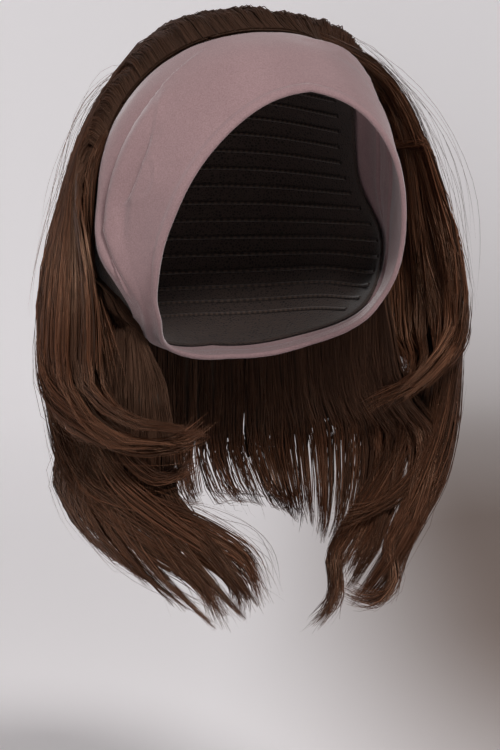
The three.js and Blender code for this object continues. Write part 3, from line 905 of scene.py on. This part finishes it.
def in_cap(turn, height):
    direction = upright_direction(turn, height)
    round_loop = np.degrees(np.arctan2(direction @ LOOP_SIDE, direction @ LOOP_TOP))
    forward = np.degrees(np.arcsin(direction @ LOOP_FRONT))
    return forward < band_edge(round_loop, "rear") - SHORT_OF_BAND


levels = np.linspace(-38, 58, WEFT_ROWS)
reaches = [max(r for r in range(0, 120, 2) if r < 4 or in_cap(float(r), height)) for height in levels]
rounds = np.array(reaches)[:, None] * np.linspace(-1, 1, WEFT_POINTS)[None, :]
weft_lines = head_point(upright_direction(rounds, levels[:, None] + 0 * rounds), -WEFT_INSET)
tape = Finish("weft tape", roughness=0.7, sheen_weight=0.2, specular_ior_level=0.2)
stitches = (tape.axis(tape.own_map(), 1) * STITCHES).sine()
tape.surface(
    base_color=tape.ramp(stitches * 0.5 + 0.5, (0.2, (0.014, 0.008, 0.006)), (0.8, (0.05, 0.03, 0.022)))
)
weft_thickness = np.full((1, WEFT_POINTS), WEFT_RADIUS)
weft_along = np.linspace(0, 1, WEFT_POINTS)[None]
wefts = tubes("weft_tapes", weft_lines, weft_thickness, 0.5, weft_along, tape.data, WEFT_SIDES)
print("wefts:", size_of(wefts), "mm")

# %% [markdown]
# Real hair gathers into small clumps that tighten towards the tips, and no two strands end at the
# same length. Each strand starts somewhere along its panel, is drawn to the middle of its clump,
# waves a little, and lies mostly on the outer or inner face of the layer. A few fly away. Hair
# curves with particles could do it, but plain lines can be measured and are the same each time.

# %% Strand lines
STATIONS = [0, 0.05, 0.1, 0.16, 0.23, 0.31, 0.42, 0.55, 0.66, 0.76, 0.85, 0.93, 1]
STRAND_RADIUS = 0.32
CLUMP_STEP = 0.03
TUFTS_AT = 0.13
TUFT_SPREAD = 0.07
FLYAWAY_SHARE = 0.03
FLYAWAY_THIN = 0.4
OUTER_FACE_SHARE = 0.62
CUT_SHORT_SHARE = 0.15
LAYER_EDGE = 1.015
WAVE_OFF = 220
AT_BACK = {"swing": 0.008, "pull": (0, 0.3), "shorter": 0.22, "together": 0.15}
AT_SIDES = {"swing": 0.02, "pull": (0.2, 0.85), "shorter": 0.1, "together": 0.5}


def clump_middles(seed):
    """Where clumps lie across a whole layer, so that one may straddle two panels."""
    places = np.arange(-1.03, 1.03, CLUMP_STEP)
    return places + np.random.default_rng(seed).uniform(-0.4, 0.4, len(places)) * CLUMP_STEP


def strands(layer, start, end, locks, count, seed):
    draw = np.random.default_rng(seed)
    centres = clump_middles(layer["clump_seed"])
    clumps = len(centres)
    habit = AT_BACK if abs(start + end) < 1 else AT_SIDES
    clump_end = 1 - 0.06 * draw.random(clumps)
    clump_shade = draw.uniform(-0.2, 0.2, clumps)
    clump_swing = draw.normal(0, habit["swing"], clumps)
    clump_lift = draw.normal(0, 0.3, clumps)
    clump_tuft = draw.uniform(-1.6, 2.4, clumps)
    side = draw.uniform(start - 0.004, end + 0.004, count)
    mine = np.abs(side[:, None] - centres[None]).argmin(1)
    flies = draw.random(count) < FLYAWAY_SHARE
    pull = np.where(flies, 0.1, draw.uniform(*habit["pull"], count))
    depth = np.where(draw.random(count) < OUTER_FACE_SHARE, 1, -1) * (1 - 0.6 * draw.random(count) ** 2)
    length = clump_end[mine] - habit["shorter"] * draw.random(count) ** 2.5
    length = np.where(draw.random(count) < CUT_SHORT_SHARE, draw.uniform(0.7, 0.95, count), length)
    shade = np.clip(0.5 + clump_shade[mine] + draw.normal(0, 0.21, count), 0.02, 0.98)
    wave = draw.normal(0, [[0.0075], [0.004]], (2, count))
    beat = draw.uniform(0.6, 2.2, (2, count))
    phase = draw.uniform(0, 2 * np.pi, (2, count))
    stray = np.where(flies, draw.uniform(2, 9, count), 0) * np.sign(depth)
    drift = np.where(flies, draw.normal(0, 0.03, count), 0)
    puff = draw.normal(0, 0.55, count)

    share = np.array(STATIONS)[None, :]
    along = share * length[:, None]
    gather = pull[:, None] * smooth(along, 0.5, 1)
    sway = np.sin(2 * np.pi * (beat[:, :, None] * along + phase[:, :, None]))
    lock = np.clip(np.floor((centres[mine] - start) / (end - start) * locks), 0, locks - 1)
    lock_middle = start + (lock + 0.5) * (end - start) / locks
    across = mix(side[:, None], centres[mine][:, None], gather)
    together = habit["together"] * np.where(flies, 0, 1)[:, None] * smooth(along, 0.62, 1.02)
    across = mix(across, lock_middle[:, None], together)
    across = across + (wave[0][:, None] * sway[0] + drift[:, None] * along**2) * smooth(along, 0, 0.5)
    across = across + clump_swing[mine][:, None] * along**3
    across = np.clip(across, -LAYER_EDGE, LAYER_EDGE)
    full = half_thickness(layer, along)
    bulge = clump_lift[mine][:, None] * smooth(along, 0.3, 0.9)
    off = full * (depth[:, None] * (1 - 0.5 * gather) + bulge)
    off = off + (clump_tuft[mine] + puff)[:, None] * np.exp(-(((along - TUFTS_AT) / TUFT_SPREAD) ** 2))
    off = off + WAVE_OFF * wave[1][:, None] * sway[1] * along + stray[:, None] * smooth(along, 0.15, 1)
    middle, normal = layer_point(layer, across, along), layer_normal(layer, across, along)
    lines = middle + normal * off[..., None]
    radius = STRAND_RADIUS * draw.uniform(0.7, 1.2, count) * np.where(flies, FLYAWAY_THIN, 1)
    thickness = radius[:, None] * (1 - 0.8 * smooth(share, 0.8, 1))
    # Strands of the under layer get a painted shade, darker towards the root, where the outer layer shades
    # them.
    shade = shade[:, None] * (1 if layer is OUTER else mix(0.3, 1, smooth(along, 0.4, 0.85)))
    return lines, thickness, shade, share


print("stations on a strand:", len(STATIONS), "clumps across a layer:", len(clump_middles(0)))

# %% [markdown]
# The hair's colour darkens towards the root, and its lighter strands are warmer. Each strand
# brings its own shade, a little lighter towards its tip, and the under layer also a painted shade
# near the root. Dark strands are also duller, so the bright ones seem to catch the light. The map
# of the tubes holds the shade and the place along the strand.

# %% Hair and the ten panels
hair = Finish("brown hair", specular_ior_level=0.5, specular_tint=(1.0, 0.62, 0.42, 1))
shade, along = hair.axis(hair.own_map(), 0), hair.axis(hair.own_map(), 1)
# The colour darkens towards the root.
near_root = hair.remap(along, 0.05, 0.34, 0.26, 1.0)
hair.surface(
    base_color=hair.ramp(
        (shade * 0.85 + along * 0.12) * near_root,
        (0.0, (0.011, 0.0042, 0.0026)), (0.45, (0.034, 0.0120, 0.0060)),
        (0.8, (0.088, 0.033, 0.0165)), (1.0, (0.16, 0.072, 0.04)),
    ),
    roughness=hair.remap(shade, 0.1, 0.35, 0.8, 0.36) + (1 - near_root) * 0.45,
)

hair_pieces = []
for number, (layer, (name, start, end, locks, count)) in enumerate(panels):
    lines, thickness, shade, share = strands(layer, start, end, locks, count, 40 + number)
    piece = tubes(name + "_strands", lines, thickness, shade, share, hair.data)
    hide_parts(name)
    hair_pieces.append(piece)
print("strands:", sum(len(p.data.polygons) for p in hair_pieces), "faces")

# %% [markdown]
# The layers give the wig its body, and a few styled locks give it its character: the long sweep
# under the jaw on the wearer's right, the flicks above it, and the curls on the left. Each lock
# is a row of guide points with a width at each. Its strands keep their place in that width.

# %% Guides of the locks
STYLED_LOCKS = [  # name, strands, guide points as x, y, z and half width in millimetres
    ("sweep, lower edge", 200, [
        (-99, 62, -198, 10), (-98, 46, -231, 15), (-98, 23, -254, 15), (-90, -6, -270, 14),
        (-75, -36, -286, 12), (-59, -57, -302, 8), (-53, -68, -323, 3),
    ]),
    ("sweep, upper edge", 190, [
        (-97, 40, -224, 12), (-96, 8, -255, 14), (-77, -24, -266, 13),
        (-57, -48, -275, 11), (-38, -64, -289, 8), (-29, -69, -312, 2.5),
    ]),
    ("sweep, middle", 130, [
        (-96, 13, -222, 10), (-89, -10, -250, 14), (-72, -35, -271, 12),
        (-55, -54, -287, 9), (-43, -65, -304, 6), (-41, -66, -318, 3),
    ]),
    ("flick at the jaw", 130, [
        (-106, 55, -168, 8), (-109, 38, -198, 12), (-105, -3, -216, 10),
        (-90, -34, -226, 8), (-68, -44, -225, 6), (-51, -42, -217, 3),
    ]),
    ("second flick", 80, [
        (-95, 2, -201, 7), (-89, -16, -228, 8), (-75, -28, -245, 6),
        (-60, -28, -244, 5), (-50, -25, -236, 3),
    ]),
    ("loop curl", 170, [
        (129, -14, -173, 7), (130, -6, -206, 11), (126, 3, -242, 14), (113, 8, -276, 12),
        (98, 10, -302, 9), (96, 1, -320, 7), (81, 0, -330, 5), (65, 6, -324, 2),
    ]),
    ("hook", 140, [
        (127, 6, -180, 6), (124, 21, -220, 9), (109, 30, -259, 12), (91, 37, -289, 9),
        (77, 37, -309, 8), (73, 28, -326, 7), (66, 25, -338, 6), (56, 25, -347, 4),
    ]),
    ("inward sweep", 100, [
        (129, -16, -175, 6), (129, -6, -209, 8), (124, 2, -242, 10),
        (112, 15, -267, 8), (96, 27, -281, 5), (78, 36, -287, 2),
    ]),
    ("outer left tips", 110, [
        (133, -18, -149, 7), (126, -21, -179, 9), (116, -8, -196, 7),
        (106, 10, -207, 5), (93, 26, -219, 1.5),
    ]),
    ("full left end", 130, [
        (132, -14, -161, 7), (133, -5, -197, 10), (132, 1, -233, 13), (126, 3, -262, 12),
        (114, 8, -289, 9), (100, 7, -313, 6), (92, 6, -329, 3),
    ]),
    ("left body", 190, [
        (131, -6, -156, 9), (130, -1, -186, 12), (129, 5, -216, 14), (126, 10, -246, 14),
        (117, 13, -275, 11), (106, 13, -298, 7), (97, 11, -313, 3),
    ]),
    ("left body, inside", 180, [
        (128, 15, -157, 9), (126, 18, -187, 12), (121, 24, -217, 14), (116, 28, -247, 13),
        (107, 30, -277, 11), (94, 31, -303, 7), (82, 28, -320, 3),
    ]),
    ("behind the band", 120, [
        (-73, 33, -53, 5), (-81, 34, -70, 6), (-86, 31, -88, 6.5), (-88, 28, -105, 7),
        (-88, 24, -122, 7), (-86, 21, -145, 7), (-83, 15, -172, 7), (-82, 5, -200, 4),
    ]),
    ("left temple, outside", 170, [
        (32, 1, 3, 7), (66, 8, -9, 8), (95, 17, -25, 9), (107, 11, -45, 10),
        (117, 7, -71, 10), (123, 0, -100, 10), (125, -12, -129, 9), (126, -22, -157, 6),
    ]),
    ("left temple, by the band", 130, [
        (73, 16, -15, 6), (101, 22, -35, 7), (108, 15, -56, 7), (115, 15, -79, 7),
        (118, 13, -107, 8), (121, 7, -138, 8), (123, -5, -168, 5),
    ]),
]
LOOSE_HAIRS = [  # the same columns; these are finer
    ("temple", 16, [
        (47, -2, 2, 5), (85, 6, -15, 12), (112, 1, -44, 18),
        (128, -8, -83, 20), (132, -18, -126, 18), (131, -26, -172, 12),
    ]),
    ("crown", 14, [
        (-49, 28, -15, 6), (-64, 40, -23, 12), (-80, 49, -45, 16),
        (-93, 52, -77, 16), (-103, 54, -117, 14), (-109, 55, -162, 8),
    ]),
    ("jaw", 16, [
        (-98, 15, -244, 12), (-98, 0, -271, 18), (-84, -28, -288, 18),
        (-62, -53, -305, 16), (-47, -67, -323, 10),
    ]),
    ("sweep tips", 14, [
        (-76, -25, -266, 12), (-55, -49, -273, 16),
        (-34, -64, -287, 18), (-21, -71, -311, 10),
    ]),
]


print("guides:", sum(len(guides) for _, _, guides in STYLED_LOCKS + LOOSE_HAIRS), "points")

# %% [markdown]
# A lock is flatter than it is wide. Its strands crowd round a few knots, start and end at lengths
# of their own, wander a little, and feather apart near the tip, as brushed ends do.

# %% Strands of a lock
LOCK_POINTS = 15
LOCK_FLATNESS = 0.5
LOCK_KNOTS = 7
KNOT_PULL = 0.45
LATE_START = 0.16
EARLY_END = 0.26
FEATHER = 3.4


def styled_lock(guides, count, seed, radius=STRAND_RADIUS, wander=0.7):
    draw = np.random.default_rng(seed)
    middle, width = np.array(guides)[:, :3], np.array(guides)[:, 3]
    radial = unit(middle * [1, 1, 0])
    sideways = unit(np.cross(np.gradient(middle, axis=0), radial))
    outwards = unit(np.cross(sideways, np.gradient(middle, axis=0)))
    flies = draw.random(count) < FLYAWAY_SHARE
    turn = draw.uniform(0, 2 * np.pi, count)
    away = np.sqrt(draw.random(count)) * np.where(flies, 2.2, 1)
    knots = draw.uniform(-0.8, 0.8, (LOCK_KNOTS, 2))
    mine = draw.integers(0, LOCK_KNOTS, count)
    a = mix(away * np.cos(turn), knots[mine, 0], KNOT_PULL)
    b = mix(away * np.sin(turn), knots[mine, 1], KNOT_PULL) * LOCK_FLATNESS
    offsets = sum(
        direction[:, None] * (place * width[:, None])[..., None]
        for direction, place in ((sideways, a), (outwards, b))
    )
    each = (middle[:, None] + offsets)[:, :, None] + np.zeros((1, 1, LOCK_POINTS, 1))
    share = 1 - (1 - np.linspace(0, 1, LOCK_POINTS)[None, :]) ** 1.3
    begin = LATE_START * draw.random(count)[:, None]
    along = mix(begin, 1 - EARLY_END * draw.random(count)[:, None] ** 1.5, share)
    beat, phase = draw.uniform(0.5, 1.6, (count, 1, 3)), draw.random((count, 1, 3))
    lines = through_points(each, along)
    lines = lines + wander * np.sin(2 * np.pi * (beat * along[..., None] + phase))
    feather = np.clip(draw.normal(0, FEATHER, (count, 1, 3)), -2 * FEATHER, 2 * FEATHER)
    lines = lines + feather * smooth(along, 0.55, 1)[..., None] ** 2
    shade = 0.55 + (mine % 3 - 1) * 0.14 + draw.normal(0, 0.2, count)
    radius = radius * draw.uniform(0.55, 1.15, count) * np.where(flies, FLYAWAY_THIN, 1)
    thickness = radius[:, None] * mix(0.15, 1, smooth(share, 0, 0.14)) * (1 - 0.8 * smooth(share, 0.8, 1))
    return lines, thickness, np.clip(shade, 0.02, 0.98)[:, None] + 0 * share, mix(0.4, 1, along)


print("strands in locks:", sum(count for _, count, _ in STYLED_LOCKS))

# %% [markdown]
# Every lock also gets a few fine hairs that stray wider than it does. Together with the rows of
# loose hairs they soften the outline, which is what makes hair look like hair. All the locks are
# one mesh, and all the loose hairs another.

# %% Locks and loose hairs
WISPS_EACH = 17
WISP_RADIUS = 0.35 * STRAND_RADIUS


def widened(guides):
    return [(x, y, z, 1.35 * wide + 1.5) for x, y, z, wide in guides]


sets = [styled_lock(guides, count, 70 + i) for i, (_, count, guides) in enumerate(STYLED_LOCKS)]
wisps = [
    styled_lock(widened(guides), WISPS_EACH, 120 + i, WISP_RADIUS, 2.4)
    for i, (_, _, guides) in enumerate(STYLED_LOCKS)
]
wisps += [
    styled_lock(guides, count, 95 + i, WISP_RADIUS, 3) for i, (_, count, guides) in enumerate(LOOSE_HAIRS)
]
for name, parts in (("styled_locks", sets), ("loose_hairs", wisps)):
    piece = tubes(name, *(np.concatenate(group) for group in zip(*parts)), hair.data)
    hair_pieces.append(piece)
    print(name + ":", len(piece.data.polygons), "faces")

# %% [markdown]
# The floor and the backdrop are one plain pale sheet that curves up, as in a photographer's
# studio, so no corner shows behind the wig. It stands far enough back for a view from behind.

# %% Studio sheet
FLOOR = -0.54
FLOOR_FRONT = -4.5
WALL_FOOT = 2.4
WALL_BEND = 1.4
WALL_TOP = 4.0
HALF_WIDTH = 5.5
BEND_STEPS = 24
sweep = [(FLOOR_FRONT, FLOOR), (WALL_FOOT, FLOOR)]
sweep += [
    (WALL_FOOT + WALL_BEND * math.sin(a), FLOOR + WALL_BEND * (1 - math.cos(a)))
    for a in np.linspace(0.06, math.pi / 2, BEND_STEPS)
]
sweep += [(WALL_FOOT + WALL_BEND, WALL_TOP)]
sheet_points = [(x, y, z) for x in (-HALF_WIDTH, HALF_WIDTH) for y, z in sweep]
count = len(sweep)
sheet_faces = [(i, i + count, i + count + 1, i + 1) for i in range(count - 1)]
sheet = bpy.data.meshes.new("studio_sweep")
sheet.from_pydata(sheet_points, [], sheet_faces)
sheet.shade_smooth()
print("sheet:", len(sheet_faces), "faces")

# %% [markdown]
# In the photograph the backdrop falls into a soft brown shadow on one side. It is painted on the
# sheet by place, in directions turned to the wig's front view: sideways and beyond. A faint glow
# evens out the far part, as a second lamp on the paper would.

# %% Paper
paper = Finish("pale paper", roughness=0.95, specular_ior_level=0.1)
left_right, near_far = (paper.axis(paper.own_place(), which) for which in (0, 1))
sideways = left_right * math.cos(AZIMUTH) + near_far * math.sin(AZIMUTH)
beyond = left_right * -math.sin(AZIMUTH) + near_far * math.cos(AZIMUTH)
shadow = paper.fade(sideways, -0.04, 0.25) * paper.fade(beyond, 4.4, 2.4)
shadow = shadow * paper.fade(beyond, -0.6, 1.2) * paper.fade(sideways, 1.3, 0.6)
nearby = paper.fade(beyond, 3.2, 0.6)
paper.surface(
    base_color=paper.ramp(shadow, (0.0, (0.80, 0.77, 0.78)), (1.0, (0.16, 0.115, 0.095))),
    emission_color=paper.ramp(
        nearby + shadow * 0.45, (0.0, (0.31, 0.30, 0.305)), (1.0, (0.05, 0.045, 0.043))
    ),
    emission_strength=1.0,
)
sheet.materials.append(paper.data)
backdrop = bpy.data.objects.new("studio_sweep", sheet)
bpy.context.scene.collection.objects.link(backdrop)
backdrop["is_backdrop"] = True
print("backdrop at y", round(WALL_FOOT + WALL_BEND, 1), "m")

# %% [markdown]
# Four soft lamps: the key from high in front, a kicker from the wearer's right that draws out the
# strands, a weak fill from the left, and a faint one from above and behind for the crown.

# %% Lamps
AMBIENT = 0.16


def soft_light(name, place, size, power, colour=(1, 1, 1)):
    data = bpy.data.lights.new(name, "AREA")
    data.shape, data.size, data.energy, data.color = "DISK", size, power, colour
    lamp = bpy.data.objects.new(name, data)
    lamp.location = place
    lamp.visible_camera = False
    lamp.rotation_euler = (LOOK_AT - Vector(place)).to_track_quat("-Z", "Y").to_euler()
    bpy.context.scene.collection.objects.link(lamp)


soft_light("key", (-0.3, -1.9, 1.5), 0.5, 64)
soft_light("kicker", (-2.1, -0.35, 0.8), 0.8, 24)
soft_light("fill", (1.7, -1.2, 0.3), 1.4, 8, (1.0, 0.96, 0.93))
soft_light("crown", (0.2, 1.4, 1.4), 1.8, 3)
bpy.context.scene.view_settings.view_transform = "Standard"
world = bpy.data.worlds.new("studio")
world.use_nodes = True
background = world.node_tree.nodes["Background"]
background.inputs["Color"].default_value = (0.9, 0.9, 0.93, 1)
background.inputs["Strength"].default_value = AMBIENT
bpy.context.scene.world = world

# %% [markdown]
# Last, each piece rides on the one body, the plain band and cap are hidden, and the growth of
# the new box over the plain model's is printed.

# %% Declare and finish
pieces = [band, cap, wefts, backing, *hair_pieces]
for piece in pieces:
    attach(piece, "root")
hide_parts("headband")
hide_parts("wig_cap")

new_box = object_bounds()
growth = [[round((new - old) / MM, 1) for new, old in zip(*corners)] for corners in zip(new_box, cad_box)]
print("triangles:", sum(len(face.vertices) - 2 for piece in pieces for face in piece.data.polygons))
print("grows by", growth, "mm")
